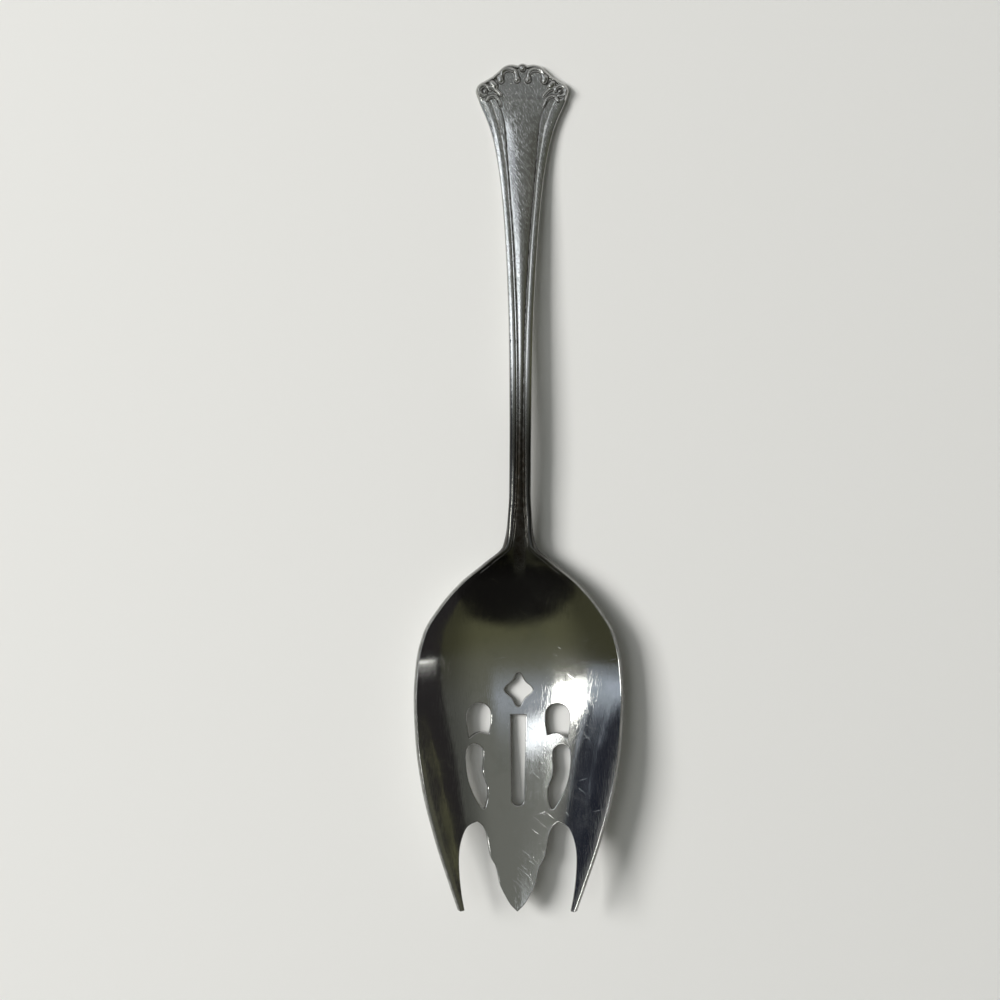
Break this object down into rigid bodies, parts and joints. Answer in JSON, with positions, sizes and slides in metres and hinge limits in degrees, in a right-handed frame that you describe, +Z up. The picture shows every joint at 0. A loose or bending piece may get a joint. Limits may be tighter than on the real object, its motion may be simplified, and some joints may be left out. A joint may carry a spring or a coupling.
{
  "type": "pierced serving spoon",
  "caption": "Pierced stainless serving spoon: tapering bowl with cut-outs and fork-like tines, low arched handle with threaded borders, fan end with scalloped scrolls",
  "frame": {"origin": "on the table under the middle of the spoon's length and width (bottom centre of its box)", "axes": "+Y runs from the tine tips to the end of the handle, +X across the spoon to the right as the picture shows it, +Z up, with the bowl open upwards"},
  "size_m": [0.0548, 0.222, 0.0113],
  "materials": {
    "stainless": "polished stainless steel, lightly scratched by use, with darker tarnish in the coined recesses"
  },
  "bodies": {
    "root": {"serving_spoon": "stainless"}
  },
  "joints": []
}
